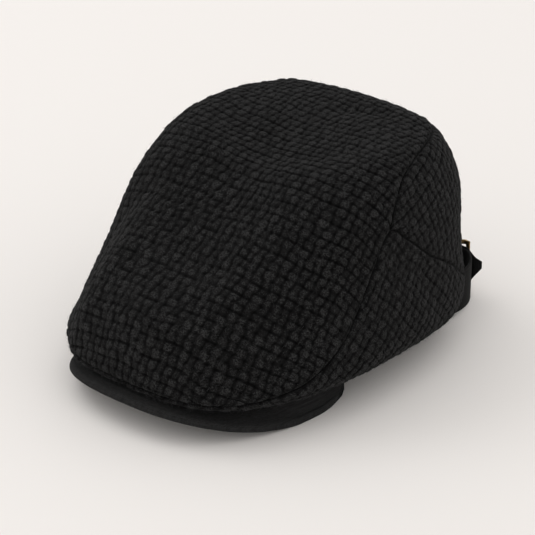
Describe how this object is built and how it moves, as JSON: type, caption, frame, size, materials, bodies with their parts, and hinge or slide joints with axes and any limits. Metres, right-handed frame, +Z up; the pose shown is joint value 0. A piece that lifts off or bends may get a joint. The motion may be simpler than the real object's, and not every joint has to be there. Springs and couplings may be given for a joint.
{
  "type": "flat newsboy cap",
  "caption": "Flat newsboy cap with a knitted crown, a stiff curved peak, a lining and sweatband, and an adjustable rear strap with a brass slider and ring.",
  "frame": {"origin": "under the middle of the cap's box, on the surface that it stands on", "axes": "+X towards the wearer's left, -Y towards the peak, +Z up"},
  "size_m": [0.187, 0.2594, 0.1301],
  "materials": {
    "black_knit": "chunky basket-weave knit, fuzzy",
    "black_twill": "smooth brushed twill, matte",
    "black_satin": "satin lining, slight sheen",
    "black_webbing": "close-woven strap, matte",
    "white_board": "plain stiffener sheet",
    "aged_brass": "antiqued brass, dark in the corners and bright on the edges"
  },
  "bodies": {
    "cap": {"top_panel": "black_knit", "rear_panel": "black_knit", "side_band_left": "black_knit", "side_band_right": "black_knit", "lining_top": "black_satin", "lining_side_left": "black_satin", "lining_side_right": "black_satin", "sweatband": "black_twill", "opening_binding": "black_twill", "peak_top_cover": "black_twill", "peak_board": "white_board", "peak_under_cover": "black_twill", "adjuster_strap": "black_webbing", "ring_tab": "black_webbing", "strap_ring": "aged_brass"},
    "slider": {"strap_slider": "aged_brass"}
  },
  "joints": [
    {"name": "slider_travel", "type": "slide", "parent": "cap", "child": "slider", "axis": [-0.9859, 0.1674, 0], "range_m": [0, 0.016]}
  ]
}
